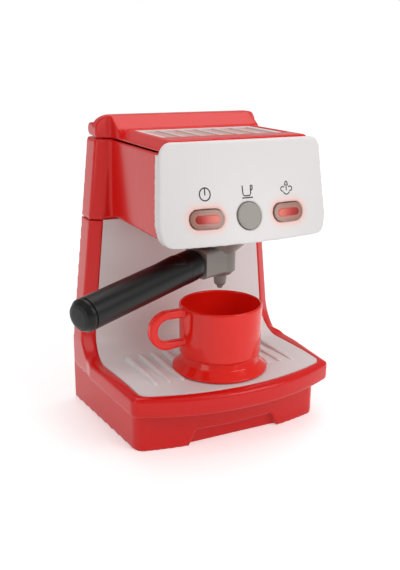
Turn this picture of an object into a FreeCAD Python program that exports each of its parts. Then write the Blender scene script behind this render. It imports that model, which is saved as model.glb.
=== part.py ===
import FreeCAD, Part
import math
import os

import Sketcher

# Toy coffee maker: a child's pretend espresso machine, modelled in millimetres.
# X runs to the right as the user faces it, Y runs to the back, Z runs up.
# The origin is the middle of the flat underside, on the plane of symmetry.

doc = FreeCAD.newDocument("toy_coffee_maker")

# Driving dimensions

SIZES = {
    # casing: walls, back plane and the seam between lower and upper casing
    "wall": 2.4, "fit_gap": 0.3, "back_y": 75, "seam_z": 182,
    # skirt of the base: half widths at back and front, and the bowed front
    "skirt_half_back": 102.5, "skirt_half_front": 90.5, "skirt_corner_y": -56,
    "skirt_front_y": -68, "skirt_corner_radius": 11, "skirt_top_z": 42,
    # rim that overhangs the skirt
    "rim_low_z": 38.2, "rim_fold_z": 53.5, "rim_top_z": 58, "rim_taper": 62,
    "rim_half_start": 100.5, "rim_start_y": 53, "rim_half_side": 104, "rim_side_y": 24,
    "rim_half_front": 97.5, "rim_corner_y": -66.4, "rim_front_y": -90, "rim_corner_radius": 8,
    # column: half widths low and at the seam, front plane, chamfered front corners
    "column_half_low": 102.5, "column_low_z": 66, "column_half_seam": 90,
    "column_front_y": 45, "chamfer_side": 7, "chamfer_face": 10,
    # splash panel and tray, one sheet
    "panel_half_seam": 78.7, "panel_half_low": 92.9, "panel_low_z": 40, "panel_radius": 28,
    "tray_back_z": 53, "tray_back_y": 17, "tray_level_z": 56.2, "tray_level_y": -37,
    "tray_half_side": 91.6, "tray_side_y": 16, "tray_half_front": 89.2, "tray_corner_y": -63.4,
    "tray_front_y": -81, "tray_corner_radius": 10, "ledge": 7,
    # tray ribs
    "rib_top_z": 57, "rib_wide": 5, "rib_pitch": 12.4, "rib_back_y": 20, "rib_front_y": -49,
    # niche in the front of the skirt
    "niche_half_low": 46, "niche_half_top": 38, "niche_z": 14, "niche_deep": 8,
    # screws and their bosses
    "boss_radius": 4.5, "pilot_radius": 1.2, "screw_radius": 1.15, "screw_head_radius": 2.7,
    "screw_head_high": 1.2, "screw_long": 12, "short_screw_long": 8, "boss_top_z": 30, "front_boss_x": 87,
    "front_boss_y": -30, "back_boss_x": 94.6, "back_boss_y": 52,
    # battery bay, door and cells
    "bay_half_x": 28, "bay_front_y": 27, "bay_back_y": 57, "bay_top_z": 19,
    "door_half_x": 32, "door_front_y": 18, "door_back_y": 60, "door_thick": 1.8,
    "cell_radius": 7.1, "cell_long": 49.2, "cell_z": 9.6, "cell_low_y": 34.6, "cell_high_y": 49.4,
    # head of the machine
    "head_half": 70.2, "head_low_z": 185, "head_top_z": 254.5, "head_front_low_y": -74.6,
    "head_front_top_y": -65.1, "pillar_half_top": 81.9, "deck_z": 228.6, "store_front_y": -52,
    "store_back_y": 42.6,
    # control panel on the front of the head
    "panel_top_z": 263, "panel_bottom_z": 182.4, "panel_top_half": 71.6, "panel_wide_half": 77,
    "panel_wide_z": 199, "panel_bottom_half": 75.2, "panel_top_y": -67.1, "panel_bottom_y": -78.3,
    "panel_middle_y": -74.9, "bow_top": 1.5, "bow_middle": 6, "bow_bottom": 10,
    "panel_deep": 9, "panel_corner": 9, "panel_edge_round": 2.5,
    # buttons
    "button_z": 203.5, "button_x": 37.5, "pill_half": 14.2, "pill_radius": 7.2,
    "lens_half": 10, "lens_radius": 2.9, "round_radius": 10.6, "button_gap": 0.3,
    "button_proud": 1, "flange_extra": 1.7, "flange_thick": 1.5, "pill_flange_y": -74.1,
    "round_flange_y": -74.7, "stem_radius": 2.2, "stem_end_y": -60.5, "round_stem_end_y": -61,
    "stem_offset": 9,
    # circuit board behind the control panel
    "board_front_y": -54.5, "board_thick": 1.6, "board_half": 62, "board_low_z": 190,
    "board_top_z": 226, "board_boss_x": 56, "board_boss_low_z": 194, "board_boss_top_z": 221.5,
    "switch_size": 6, "switch_body_deep": 3, "plunger_tip_y": -58.3, "lamp_radius": 2.5,
    "spring_radius": 5, "spring_wire": 0.35, "spring_turns": 6,
    # speaker behind the back cover
    "speaker_z": 112, "speaker_radius": 20, "slot_half": 17, "slot_high": 2.6, "slot_pitch": 6,
    # group under the head
    "group_y": -32.6, "collar_radius": 33, "collar_low_z": 177, "collar_bore": 26.4,
    "groove_radius": 30, "groove_low_z": 179, "groove_top_z": 182.6, "collar_roof_z": 184.2,
    "spigot_radius": 23.7, "spigot_top_z": 190,
    # bowl, neck and spout
    "bowl_radius": 26, "bowl_top_z": 183.8, "bowl_shoulder_z": 174.5, "bowl_waist_z": 163.5,
    "bowl_low_radius": 13.2, "bowl_bottom_z": 143.3, "bowl_bevel": 3.6, "bowl_wall": 2,
    "lug_radius": 29.6, "lug_half": 6, "neck_half": 12, "neck_low_z": 146, "neck_top_z": 171,
    "neck_end": 33, "spout_radius": 6.2, "spout_mid_radius": 5.2, "spout_shoulder_z": 134.6,
    "tip_radius": 2.7, "tip_top_z": 133, "spout_tip_z": 130, "spout_bore": 1.4,
    # handle: turned to the left of straight ahead and drooping a little
    "handle_turn": 66.5, "handle_droop": 6.3, "handle_z": 162.7, "ferrule_start": 34.8,
    "ferrule_end": 54, "grip_end": 157, "cap_end": 165.5, "ferrule_radius": 13.4,
    "grip_start_radius": 13.2, "grip_end_radius": 12.9, "core_radius": 6, "core_start": 25,
    "core_end": 76, "grip_bore": 9.5, "plug_long": 7,
    # lid
    "lid_gap": 0.4, "lid_top_z": 264, "lid_flat_half": 62, "lid_edge_z": 257, "lid_front_y": -64.1,
    "ridge_top_z": 275, "ridge_top_back_y": 56, "ridge_top_front_y": 45, "ridge_foot_y": 27,
    "ridge_back_y": 62, "ridge_half": 81.5, "ridge_round": 13, "hinge_y": 68.5, "hinge_z": 261.5,
    "knuckle_radius": 5.8, "knuckle_in_x": 70, "ear_out_x": 69.4, "ear_in_x": 64.4,
    "pin_radius": 2.5, "pin_gap": 0.08, "pin_end_x": 64.8,
    # cup grille let into the lid
    "grille_half": 58, "grille_back_y": 24, "grille_front_y": -41, "grille_thick": 1.8, "slot_floor": 0.7,
    "grille_recess": 1, "slot_count": 6, "slot_wide": 15.2, "slot_margin": 6,
    # cup
    "cup_y": -34.5, "cup_low_z": 57, "cup_rim_z": 117, "cup_rim_radius": 37.1,
    "cup_joint_z": 71.5, "cup_joint_radius": 36.2, "cup_wall": 2.2, "foot_radius": 42.6,
    "foot_edge": 2.4, "foot_neck_radius": 34.3, "socket_radius": 31, "socket_deep": 5,
    "loop_x": -51.7, "loop_z": 98.5, "loop_radius": 17.6, "loop_hole": 10.2, "loop_half": 3.8,
}

dims = doc.addObject("Spreadsheet::Sheet", "dims")
for row, (alias, value) in enumerate(SIZES.items(), start=1):
    dims.set(f"A{row}", alias)
    dims.set(f"B{row}", str(value))
    dims.setAlias(f"B{row}", alias)
doc.recompute()


class Dim:
    """A length that keeps its number beside the spreadsheet expression that gives it."""

    def __init__(self, number, text):
        self.number = float(number)
        self.text = text

    def __add__(self, other):
        other = as_dim(other)
        return Dim(self.number + other.number, f"({self.text} + {other.text})")

    def __sub__(self, other):
        other = as_dim(other)
        return Dim(self.number - other.number, f"({self.text} - {other.text})")

    def __mul__(self, other):
        other = as_dim(other)
        return Dim(self.number * other.number, f"({self.text} * {other.text})")

    def __truediv__(self, other):
        other = as_dim(other)
        return Dim(self.number / other.number, f"({self.text} / {other.text})")

    def __neg__(self):
        return Dim(-self.number, f"(-1 * {self.text})")

    __radd__ = __add__
    __rmul__ = __mul__

    def __rsub__(self, other):
        return as_dim(other) - self


def as_dim(value):
    return value if isinstance(value, Dim) else Dim(value, repr(float(value)))


class Sheet:
    """Reads each named cell of the spreadsheet as a Dim."""

    def __getattr__(self, alias):
        return Dim(dims.get(alias), f"dims.{alias}")


s = Sheet()

# Helpers that make bound document objects


def bind(thing, path, value):
    """Ties one property of an object to the sheet."""
    value = as_dim(value)
    if "dims." in value.text:
        thing.setExpression(path, value.text)


def place(thing, x=0, y=0, z=0):
    """Puts an object's base point at sheet values."""
    x, y, z = as_dim(x), as_dim(y), as_dim(z)
    thing.Placement.Base = FreeCAD.Vector(x.number, y.number, z.number)
    for axis, value in zip("xyz", (x, y, z)):
        bind(thing, f"Placement.Base.{axis}", value)


def box(name, x, y, z):
    """A block between pairs of coordinates."""
    block = doc.addObject("Part::Box", name)
    for prop, (low, high) in zip(("Length", "Width", "Height"), (x, y, z)):
        span = as_dim(high) - low
        setattr(block, prop, span.number)
        bind(block, prop, span)
    place(block, x[0], y[0], z[0])
    return block


TURNS = {
    "z": FreeCAD.Rotation(),
    "y": FreeCAD.Rotation(FreeCAD.Vector(1, 0, 0), -90),
    "x": FreeCAD.Rotation(FreeCAD.Vector(0, 1, 0), 90),
}


def rod(name, radius, start, length, axis="z", end_radius=None):
    """A cylinder, or a cone when it has an end radius, from start along an axis."""
    if end_radius is None:
        shape = doc.addObject("Part::Cylinder", name)
        sizes = {"Radius": radius, "Height": length}
    else:
        shape = doc.addObject("Part::Cone", name)
        sizes = {"Radius1": radius, "Radius2": end_radius, "Height": length}
    for prop, value in sizes.items():
        setattr(shape, prop, as_dim(value).number)
        bind(shape, prop, value)
    shape.Placement.Rotation = TURNS[axis]
    place(shape, *start)
    return shape


def fuse(name, *shapes):
    joined = doc.addObject("Part::MultiFuse", name)
    joined.Shapes = list(shapes)
    return joined


def common(name, *shapes):
    shared = doc.addObject("Part::MultiCommon", name)
    shared.Shapes = list(shapes)
    return shared


def cut(name, base, *tools):
    """Takes the tools away from the base."""
    result = base
    for number, tool in enumerate(tools, start=1):
        last = number == len(tools)
        step = doc.addObject("Part::Cut", name if last else f"{name}_step")
        step.Base = result
        step.Tool = tool
        result = step
    return result


PLANES = {
    "XY": (FreeCAD.Rotation(), FreeCAD.Vector(0, 0, 1), "z"),
    "XZ": (FreeCAD.Rotation(FreeCAD.Vector(1, 0, 0), 90), FreeCAD.Vector(0, 1, 0), "y"),
    "YZ": (FreeCAD.Rotation(FreeCAD.Vector(1, 1, 1), 120), FreeCAD.Vector(1, 0, 0), "x"),
}


class Via:
    """The middle point of an arc between the points before and after it."""

    def __init__(self, x, y):
        self.x, self.y = as_dim(x), as_dim(y)


def vector(x, y):
    return FreeCAD.Vector(as_dim(x).number, as_dim(y).number, 0)


def pin_point(sketch, geometry, which, x, y):
    """Fixes a sketch point by its two distances from the sketch origin."""
    for kind, value, axis in (("DistanceX", as_dim(x), -2), ("DistanceY", as_dim(y), -1)):
        if abs(value.number) < 1e-9:
            sketch.addConstraint(Sketcher.Constraint("PointOnObject", geometry, which, axis))
            continue
        index = sketch.addConstraint(
            Sketcher.Constraint(kind, -1, 1, geometry, which, value.number))
        bind(sketch, f"Constraints[{index}]", value)


def end_near(sketch, geometry, point):
    """Says which end of a segment lies on a point, since arcs may be stored reversed."""
    start = sketch.getPoint(geometry, 1)
    return 1 if start.distanceToPoint(point) < 1e-6 else 2


def draw_loop(sketch, points):
    """Draws one closed loop of lines, and of arcs through each Via."""
    corners = [p for p in points if not isinstance(p, Via)]
    segments = []
    for index, point in enumerate(points):
        if isinstance(point, Via):
            continue
        after = points[(index + 1) % len(points)]
        if isinstance(after, Via):
            end = points[(index + 2) % len(points)]
            curve = Part.Arc(vector(*point), vector(after.x, after.y), vector(*end))
            geometry = sketch.addGeometry(curve, False)
            marker = sketch.addGeometry(Part.Point(vector(after.x, after.y)), True)
            segments.append((geometry, marker, after))
        else:
            geometry = sketch.addGeometry(Part.LineSegment(vector(*point), vector(*after)), False)
            segments.append((geometry, None, None))
    for index, (geometry, marker, via) in enumerate(segments):
        corner = vector(*corners[index])
        before = segments[index - 1][0]
        here = end_near(sketch, geometry, corner)
        sketch.addConstraint(Sketcher.Constraint(
            "Coincident", before, end_near(sketch, before, corner), geometry, here))
        pin_point(sketch, geometry, here, *corners[index])
        if marker is not None:
            pin_point(sketch, marker, 1, via.x, via.y)
            sketch.addConstraint(Sketcher.Constraint("PointOnObject", marker, 1, geometry))


def draw(name, plane, points, start=0):
    """A constrained sketch of one closed loop on a plane moved to start."""
    sketch = doc.addObject("Sketcher::SketchObject", f"{name}_outline")
    sketch.Placement.Rotation = PLANES[plane][0]
    place(sketch, **{PLANES[plane][2]: start})
    draw_loop(sketch, points)
    return sketch


def prism(name, plane, points, start, end):
    """A straight solid on an outline, from start to end along the plane's normal."""
    sketch = draw(name, plane, points, start)
    solid = doc.addObject("Part::Extrusion", name)
    solid.Base = sketch
    solid.DirMode = "Custom"
    solid.Dir = PLANES[plane][1]
    solid.Solid = True
    span = as_dim(end) - start
    solid.LengthFwd = span.number
    bind(solid, "LengthFwd", span)
    return solid


def turned(name, points, x=0, y=0):
    """A solid of revolution about a vertical axis, from (radius, height) points."""
    sketch = draw(name, "XZ", points)
    place(sketch, x=x, y=y)
    solid = doc.addObject("Part::Revolution", name)
    solid.Source = sketch
    solid.Axis = FreeCAD.Vector(0, 0, 1)
    solid.Base = FreeCAD.Vector(as_dim(x).number, as_dim(y).number, 0)
    bind(solid, "Base.x", x)
    bind(solid, "Base.y", y)
    solid.Angle = 360
    solid.Solid = True
    return solid


def round_edges(name, base, pick, radius, kind="Part::Fillet", second=None):
    """Rounds or chamfers the edges that pick accepts."""
    doc.recompute()
    radius = as_dim(radius).number
    second = radius if second is None else as_dim(second).number
    chosen = [number for number, edge in enumerate(base.Shape.Edges, start=1) if pick(edge)]
    rounded = doc.addObject(kind, name)
    rounded.Base = base
    rounded.Edges = [(number, radius, second) for number in chosen]
    doc.recompute()
    if not chosen or rounded.Shape.isNull() or not rounded.Shape.isValid():
        raise RuntimeError(f"{name}: the edges could not be rounded")
    return rounded


def keep(label, thing):
    """Names a finished sub-part."""
    thing.Label = label
    finished.append(thing)
    return thing


def pill(half, radius, z, x=0):
    """Outline of a long button: two straight sides and two round ends."""
    straight = half - radius
    return [(x - straight, z - radius), (x + straight, z - radius), Via(x + half, z),
            (x + straight, z + radius), (x - straight, z + radius), Via(x - half, z)]


def at_front_corner(y):
    """Picks the upright edges at the two front corners of a plan."""
    level = as_dim(y).number

    def pick(edge):
        span = edge.BoundBox
        return span.ZLength > 1 and span.XLength < 0.01 and abs(span.YMin - level) < 0.3
    return pick


finished = []

# Outlines and solids that several pieces share


def skirt(name, inset, low, high):
    """The skirt of the base as a solid block, drawn in by an inset."""
    back, front = s.skirt_half_back - inset, s.skirt_half_front - inset
    corner = s.skirt_corner_y + inset
    block = prism(name, "XY", [(-back, s.back_y), (-front, corner), Via(0, s.skirt_front_y + inset),
                               (front, corner), (back, s.back_y)], low, high)
    return round_edges(f"{name}_corners", block, at_front_corner(corner), s.skirt_corner_radius - inset)


def rim_points(inset):
    start, side, front = s.rim_half_start - inset, s.rim_half_side - inset, s.rim_half_front - inset
    corner = s.rim_corner_y + inset
    return [(-start, s.rim_start_y), (-side, s.rim_side_y), (-front, corner),
            Via(0, s.rim_front_y + inset), (front, corner), (side, s.rim_side_y), (start, s.rim_start_y)]


def rim(name, inset, low, high):
    """The overhanging rim as a solid block, drawn in by an inset."""
    block = prism(name, "XY", rim_points(inset), low, high)
    corner = s.rim_corner_y + inset
    return round_edges(f"{name}_corners", block, at_front_corner(corner), s.rim_corner_radius - inset)


LEAN = (s.column_half_low - s.column_half_seam) / (s.seam_z - s.column_low_z)


def column_half(z):
    return s.column_half_seam + LEAN * (s.seam_z - z)


def column(name, inset, low, high, front, back):
    """The leaning column, as seen from the front, between two depths."""
    wide, low_dim = s.column_half_low - inset, as_dim(low)
    top = column_half(as_dim(high)) - inset
    if low_dim.number < s.column_low_z.number:
        points = [(-wide, low), (-wide, s.column_low_z), (-top, high),
                  (top, high), (wide, s.column_low_z), (wide, low)]
    else:
        bottom = column_half(low_dim) - inset
        points = [(-bottom, low), (-top, high), (top, high), (bottom, low)]
    return prism(name, "XZ", points, front, back)


def behind_sheet(name, offset, half=110):
    """Everything behind and under the splash sheet's front face, moved in by an offset."""
    bend, face = s.panel_radius + offset, s.column_front_y + offset
    middle_y, middle_z = s.tray_back_y, s.tray_back_z + s.panel_radius
    diagonal = bend * math.sqrt(0.5)
    return prism(name, "YZ", [
        (s.back_y + 2, -2), (s.back_y + 2, s.seam_z), (face, s.seam_z), (face, middle_z),
        Via(middle_y + diagonal, middle_z - diagonal), (middle_y, s.tray_back_z - offset),
        (s.tray_level_y, s.tray_level_z - offset), (s.rim_front_y - 5, s.tray_level_z - offset),
        (s.rim_front_y - 5, -2)], -half, half)


def sheet_room(name, gap):
    """The room inside the splash sheet's outline, seen from the front and from above."""
    seam, low = s.panel_half_seam + gap, s.panel_half_low + gap
    view = prism(f"{name}_front_view", "XZ", [(-seam, s.seam_z + 1), (-low, s.panel_low_z),
                                              (low, s.panel_low_z), (seam, s.seam_z + 1)],
                 s.rim_front_y - 5, s.back_y)
    side, front = s.tray_half_side + gap, s.tray_half_front + gap
    plan = prism(f"{name}_plan", "XY", [
        (-side - 4, s.back_y), (-side, s.tray_side_y), (-front, s.tray_corner_y),
        Via(0, s.tray_front_y - gap), (front, s.tray_corner_y), (side, s.tray_side_y),
        (side + 4, s.back_y)], s.panel_low_z, s.seam_z + 1)
    rounded = round_edges(f"{name}_corners", plan, at_front_corner(s.tray_corner_y),
                          s.tray_corner_radius)
    return common(name, view, rounded)


def in_front(name, room, offset):
    """The part of a room that lies in front of the sheet's face moved in by an offset."""
    return cut(name, room, behind_sheet(f"{name}_back", offset))


def screws(label, places, axis, turn=1, long=None):
    """A group of equal screws; each place is the underside of the head."""
    pieces = []
    long = s.screw_long if long is None else long
    for number, (x, y, z) in enumerate(places, start=1):
        head = rod(f"{label}_head_{number}", s.screw_head_radius, (x, y, z), s.screw_head_high, axis)
        shank = rod(f"{label}_shank_{number}", s.screw_radius, (x, y, z), long, axis)
        moved, back = (head, s.screw_head_high) if turn > 0 else (shank, long)
        index = {"x": 0, "y": 1, "z": 2}[axis]
        base = [x, y, z]
        base[index] = as_dim(base[index]) - back
        place(moved, *base)
        pieces.append(fuse(f"{label}_{number}", head, shank))
    group = doc.addObject("Part::Compound", f"{label}_group")
    group.Links = pieces
    return keep(label, group)


def holes(name, places, radius, length, axis):
    return [rod(f"{name}_{number}", radius, spot, length, axis)
            for number, spot in enumerate(places, start=1)]


# Lower casing

outer = fuse("base_outer",
             skirt("skirt", 0, 0, s.skirt_top_z),
             rim("rim_band", 0, s.rim_low_z, s.rim_fold_z))
rim_top = prism("rim_top", "XY", rim_points(0), s.rim_fold_z, s.rim_top_z)
rim_top.TaperAngle = -s.rim_taper.number
rim_top.setExpression("TaperAngle", "-1 * dims.rim_taper")
rim_crown = common("rim_crown", rim_top, rim("rim_crown_plan", 0, s.rim_fold_z, s.rim_top_z))

tower = common("tower_body", column("tower", 0, s.rim_low_z, s.seam_z, 5, s.back_y),
               behind_sheet("tower_profile", 0))


def fold_cut(name, side, low, high, shift=0):
    """The wedge that bevels a front corner of the leaning column."""
    low = as_dim(low)
    edge_x, face_y = column_half(low), s.column_front_y + shift
    wide, deep = s.chamfer_face, s.chamfer_side
    wedge = prism(name, "XY", [
        (side * (edge_x - wide * 1.2), face_y - deep * 0.2), (side * (edge_x + wide * 0.4), face_y - deep * 0.2),
        (side * (edge_x + wide * 0.4), face_y + deep * 1.4)], low, high)
    wedge.Dir = FreeCAD.Vector(-side * LEAN.number, 0, 1)
    wedge.setExpression("Dir.x", (LEAN * -side).text)
    wedge.setExpression("LengthFwd", None)
    wedge.LengthFwd = (as_dim(high) - low).number * math.hypot(1, LEAN.number)
    return wedge


def fold_room(name, side, shift=0):
    """The bevel cut down a front corner of the column and on round the bend."""
    sections = []
    for n, inset in enumerate((s.chamfer_face * -0.3, s.chamfer_face * 1.2), start=1):
        offset = s.chamfer_side * (1.3 if n == 1 else -0.2) + shift
        bend, face = s.panel_radius + offset, s.column_front_y + offset
        middle = s.tray_back_z + s.panel_radius - s.column_low_z
        diagonal = bend * math.sqrt(0.5)
        low = s.tray_back_z - s.column_low_z - offset
        top = s.seam_z - s.column_low_z + 3
        sketch = draw(f"{name}_{n}", "YZ", [
            (-20, top), (face, top), (face, middle),
            Via(s.tray_back_y + diagonal, middle - diagonal), (s.tray_back_y, low), (-20, low)])
        lean_turn = FreeCAD.Rotation(FreeCAD.Vector(0, 1, 0), -side * math.degrees(math.atan(LEAN.number)))
        sketch.Placement.Rotation = lean_turn.multiply(PLANES["YZ"][0])
        place(sketch, (s.column_half_low - inset) * side, 0, s.column_low_z)
        sections.append(sketch)
    room = doc.addObject("Part::Loft", name)
    room.Sections = sections
    room.Solid = True
    room.Ruled = True
    return room


tower = cut("tower_folded", tower, fold_room("tower_fold_left", -1), fold_room("tower_fold_right", 1))
shell = common("base_block", fuse("base_sum", outer, rim_crown, tower), behind_sheet("base_profile", 0))

hollow = fuse("base_hollow",
              skirt("skirt_hollow", s.wall, -1, s.rim_top_z),
              rim("rim_hollow", s.wall, s.rim_low_z + s.wall, s.rim_top_z),
              column("tower_hollow", s.wall, s.rim_low_z + s.wall, s.seam_z + 1, 20, s.back_y + 1))
hollow = common("base_room", hollow, behind_sheet("base_room_profile", s.wall * 2))
fold_wall = s.wall * 1.3
hollow = cut("base_room_folded", hollow, fold_room("room_fold_left", -1, fold_wall),
             fold_room("room_fold_right", 1, fold_wall))
seat = in_front("sheet_seat", sheet_room("sheet_seat_room", s.fit_gap), s.wall)
window = in_front("sheet_window", sheet_room("sheet_window_room", -s.ledge), s.wall * 2 + 1)


def niche(name, grow, front, back, low):
    return prism(name, "XZ", [(-s.niche_half_low - grow, low), (-s.niche_half_top - grow, s.niche_z + grow),
                              (s.niche_half_top + grow, s.niche_z + grow), (s.niche_half_low + grow, low)],
                 front, back)


niche_back = s.skirt_front_y + s.niche_deep
liner = common("niche_liner", niche("niche_wall", s.wall, s.skirt_front_y - 5, niche_back + s.wall, 0),
               skirt("niche_limit", 0.2, 0, s.niche_z + 10))

bottom_spots = [(x, y) for x, y in ((-s.front_boss_x, s.front_boss_y), (s.front_boss_x, s.front_boss_y),
                                    (-s.back_boss_x, s.back_boss_y), (s.back_boss_x, s.back_boss_y))]
back_spots = [(-96, 45), (96, 45), (-87, 150), (87, 150)]
top_spots = [(-80, 215), (80, 215)]
cover_y = s.back_y - s.wall
bosses = [rod(f"bottom_boss_{n}", s.boss_radius, (x, y, s.wall), s.boss_top_z - s.wall)
          for n, (x, y) in enumerate(bottom_spots, start=1)]
bosses += [rod(f"back_boss_{n}", s.boss_radius, (x, 58, z), cover_y - 58, "y")
           for n, (x, z) in enumerate(back_spots, start=1)]
pilots = holes("bottom_pilot", [(x, y, 0) for x, y in bottom_spots], s.pilot_radius, 16, "z")
pilots += holes("back_pilot", [(x, 60, z) for x, z in back_spots], s.pilot_radius, 16, "y")
shell = cut("base_open", shell, hollow, seat, window)
shell = fuse("base_fitted", shell, liner, *bosses)
shell = cut("base_done", shell, niche("niche_room", 0, s.skirt_front_y - 10, niche_back, -2), *pilots)
keep("base_shell", shell)

# Splash panel and tray

sheet = common("sheet_strip", sheet_room("sheet_outline", 0), behind_sheet("sheet_front", 0))
sheet = cut("sheet_bent", sheet, behind_sheet("sheet_back", s.wall))
ribs = [box(f"rib_{n}", (s.rib_pitch * (n - 3.5) - s.rib_wide / 2, s.rib_pitch * (n - 3.5) + s.rib_wide / 2),
            (s.rib_front_y + abs(n - 3.5) * 0.7, s.rib_back_y), (s.tray_back_z - 1, s.rib_top_z))
        for n in range(-2, 10)]
ribs = [rib for rib in ribs if abs(as_dim(rib.Placement.Base.x).number) < 72]
ribs = round_edges("ribs_soft", fuse("ribs", *ribs), lambda e: e.BoundBox.YLength < 0.01 and
                   e.BoundBox.XLength < 0.01 and e.BoundBox.ZLength > 2, 2)
keep("splash_tray_panel", fuse("sheet_done", sheet, ribs))

# Bottom plate, battery door and cells

plate = skirt("plate", s.wall + s.fit_gap, 0, s.wall)
bay_wall = 1.8
bay_outer = box("bay_outer", (-s.bay_half_x - bay_wall, s.bay_half_x + bay_wall),
                (s.bay_front_y - bay_wall, s.bay_back_y + bay_wall), (0, s.bay_top_z))
door_x = (-s.door_half_x - s.fit_gap, s.door_half_x + s.fit_gap)
door_y = (s.door_front_y - s.fit_gap, s.door_back_y + s.fit_gap)
door_boss = rod("door_boss", 3.5, (0, 21.5, 1), 10)
plate = fuse("plate_sum", plate, bay_outer, door_boss)
plate_cuts = [box("bay_room", (-s.bay_half_x, s.bay_half_x), (s.bay_front_y, s.bay_back_y),
                  (-1, s.bay_top_z - bay_wall)),
              box("door_seat", door_x, door_y, (-1, s.door_thick)),
              box("niche_clear", (-52, 52), (s.skirt_front_y - 5, niche_back + s.wall + s.fit_gap), (-1, 5)),
              rod("door_pilot", s.pilot_radius, (0, 21.5, 0), 10)]
plate_cuts += holes("plate_hole", [(x, y, -1) for x, y in bottom_spots], s.screw_radius + 0.2, 5, "z")
plate_cuts += holes("plate_sink", [(x, y, -1) for x, y in bottom_spots], s.screw_head_radius + 0.3,
                    2.9, "z")
keep("bottom_plate", cut("plate_done", plate, *plate_cuts))

door = box("door_slab", (-s.door_half_x, s.door_half_x), (s.door_front_y, s.door_back_y), (0, s.door_thick))
door = cut("door_done", door, rod("door_hole", s.screw_radius + 0.2, (0, 21.5, -1), 5),
           rod("door_sink", s.screw_head_radius + 0.3, (0, 21.5, -1), 2.3))
keep("battery_door", door)

cells = []
for n, (y, way) in enumerate(((s.cell_low_y, 1), (s.cell_high_y, -1)), start=1):
    can = rod(f"cell_{n}", s.cell_radius, (-s.cell_long / 2, y, s.cell_z), s.cell_long, "x")
    nub = rod(f"cell_nub_{n}", 2.7, (s.cell_long / 2 if way > 0 else -s.cell_long / 2 - 1.3, y, s.cell_z),
              1.3, "x")
    cells.append(fuse(f"battery_{n}", can, nub))
group = doc.addObject("Part::Compound", "battery_pair")
group.Links = cells
keep("batteries", group)

contacts = []
for n, side in enumerate((-1, 1), start=1):
    outer_x, inner_x = s.bay_half_x * side, (s.bay_half_x - 0.5) * side
    low_x, high_x = (outer_x, inner_x) if side < 0 else (inner_x, outer_x)
    spring_y = s.cell_low_y if side < 0 else s.cell_high_y
    strip = box(f"contact_{n}", (low_x, high_x), (s.bay_front_y + 2, s.bay_back_y - 2), (4, 15))
    start_x = low_x if side < 0 else s.cell_long / 2
    radii = (3.6, 2) if side < 0 else (2, 3.6)
    tip = rod(f"contact_spring_{n}", radii[0], (start_x, spring_y, s.cell_z),
              s.bay_half_x - s.cell_long / 2, "x", radii[1])
    contacts.append(fuse(f"contact_fused_{n}", strip, tip))
group = doc.addObject("Part::Compound", "contact_pair")
group.Links = contacts
keep("battery_contacts", group)

# Upper casing: two pillars and the head

pillars = column("pillars", 0, s.seam_z, s.head_top_z, s.column_front_y, s.back_y)


pillar_folds = [fold_cut(f"pillar_fold_{n}", side, s.seam_z - 2, s.head_top_z + 2)
                for n, side in enumerate((-1, 1), start=1)]
pillars = cut("pillars_folded", pillars, *pillar_folds)


def head_block(name, inset, front_shift, back, low, high, half):
    slope = (s.head_front_top_y - s.head_front_low_y) / (s.head_top_z - s.head_low_z)
    low_y = s.head_front_low_y + front_shift + slope * (as_dim(low) - s.head_low_z)
    high_y = s.head_front_low_y + front_shift + slope * (as_dim(high) - s.head_low_z)
    return prism(name, "YZ", [(back, low), (back, high), (high_y, high), (low_y, low)],
                 -(half - inset), half - inset)


head = head_block("head", 0, 0, s.column_front_y + 5, s.head_low_z, s.head_top_z, s.head_half)
head_sum = fuse("head_sum", pillars, head)
front_room = head_block("head_front_room", s.wall, -6, s.store_front_y - s.wall, s.head_low_z + s.wall,
                        s.head_top_z - s.wall, s.head_half)
low_room = head_block("head_low_room", s.wall, -6, s.back_y + 1, s.head_low_z + s.wall, s.deck_z, s.head_half)
pillar_room = column("pillar_room", s.wall, s.seam_z - 1, s.head_top_z - s.wall,
                     s.column_front_y + s.wall, s.back_y + 1)
pillar_room = cut("pillar_room_folded", pillar_room, *[
    fold_cut(f"pillar_room_fold_{n}", side, s.seam_z - 2, s.head_top_z, fold_wall)
    for n, side in enumerate((-1, 1), start=1)])
store = box("store_room", (-s.head_half + s.wall, s.head_half - s.wall), (s.store_front_y, s.store_back_y),
            (s.deck_z + s.wall, s.head_top_z + 5))
ears = []
for n, side in enumerate((-1, 1), start=1):
    low_x = s.ear_in_x if side > 0 else -s.ear_out_x
    high_x = s.ear_out_x if side > 0 else -s.ear_in_x
    ears.append(rod(f"ear_round_{n}", 5.4, (low_x, s.hinge_y, s.hinge_z), s.ear_out_x - s.ear_in_x, "x"))
    ears.append(box(f"ear_foot_{n}", (low_x, high_x), (s.hinge_y - 5.4, s.hinge_y + 5.4),
                    (s.head_top_z - 1, s.hinge_z)))
top_bosses = [rod(f"top_boss_{n}", s.boss_radius, (x, 58, z), cover_y - 58, "y")
              for n, (x, z) in enumerate(top_spots, start=1)]
housing = cut("housing_open", head_sum, front_room, low_room, pillar_room, store)
housing = fuse("housing_fitted", housing, *ears, *top_bosses)
collar_angles = (45, 135, 225, 315)
collar_spots = [(31.4 * math.cos(math.radians(a)), s.group_y + 31.4 * math.sin(math.radians(a)))
                for a in collar_angles]
housing_cuts = [rod("ear_bore", s.pin_radius + s.pin_gap, (-90, s.hinge_y, s.hinge_z), 180, "x"),
                rod("spigot_hole", s.spigot_radius + s.fit_gap, (0, s.group_y, s.head_low_z - 1), 8)]
housing_cuts += holes("top_pilot", [(x, 60, z) for x, z in top_spots], s.pilot_radius, 16, "y")
housing_cuts += holes("collar_hole", [(x, y, s.head_low_z - 1) for x, y in collar_spots],
                      s.screw_radius + 0.2, 5, "z")
keep("upper_housing", cut("housing_done", housing, *housing_cuts))

# Back cover and speaker

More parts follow.
